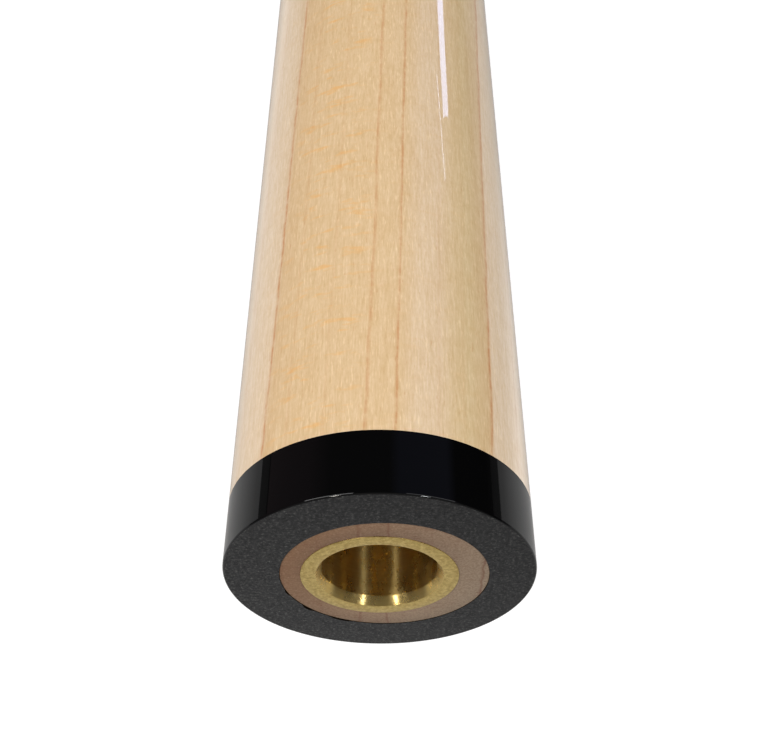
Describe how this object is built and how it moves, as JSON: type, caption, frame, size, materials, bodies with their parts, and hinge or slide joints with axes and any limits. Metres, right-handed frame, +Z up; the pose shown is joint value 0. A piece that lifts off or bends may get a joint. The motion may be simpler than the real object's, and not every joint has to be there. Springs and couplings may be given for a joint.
{
  "type": "pool cue",
  "caption": "Two-piece pool cue unscrewed at its joint: tapered maple shaft with black collar and brass insert, in line with its threaded butt.",
  "frame": {"origin": "centre of the shaft's joint face, on the cue's axis", "axes": "+Y along the shaft to the tip, -Y along the butt to the bumper, +Z up, +X right as seen from the butt"},
  "size_m": [0.0312, 1.5204, 0.0312],
  "materials": {
    "maple": "gloss clear coat",
    "collar_phenolic": "polished, joint faces sanded matt",
    "insert_brass": "turned satin",
    "tip_leather": "chalked, matt",
    "pad_fibre": "matt",
    "ferrule_resin": "satin",
    "pin_steel": "turned and rolled",
    "ring_nickel_silver": "polished",
    "hardware_steel": "dull zinc",
    "wrap_linen": "pressed linen thread with pale flecks",
    "sleeve_wood": "dark stain under gloss clear coat",
    "bumper_rubber": "matt"
  },
  "bodies": {
    "shaft": {"leather_tip": "tip_leather", "tip_pad": "pad_fibre", "ferrule": "ferrule_resin", "shaft_blank": "maple", "shaft_collar": "collar_phenolic", "joint_insert": "insert_brass"},
    "bumper": {"bumper": "bumper_rubber"},
    "butt": {"joint_pin": "pin_steel", "butt_collar": "collar_phenolic", "joint_ring": "ring_nickel_silver", "forearm": "maple", "handle_stud": "hardware_steel", "handle_core": "maple", "wrap_front_ring": "collar_phenolic", "linen_wrap": "wrap_linen", "wrap_back_ring": "collar_phenolic", "butt_sleeve": "sleeve_wood", "cap_ring": "ring_nickel_silver", "butt_cap": "collar_phenolic", "weight_bolt": "hardware_steel", "bumper_screw": "hardware_steel", "bumper_washer": "hardware_steel"}
  },
  "joints": [
    {"name": "butt_draw", "type": "slide", "parent": "shaft", "child": "bumper", "axis": [0, 1, 0], "range_m": [0, 0.04717]},
    {"name": "butt_turn", "type": "hinge", "parent": "bumper", "child": "butt", "pos_m": [0, -0.04717, 0], "axis": [0, 1, 0], "range_deg": [0, 9360]}
  ],
  "couplings": [
    {"joint": "butt_draw", "follows": "butt_turn", "m_per_rad": 0.00028875}
  ]
}
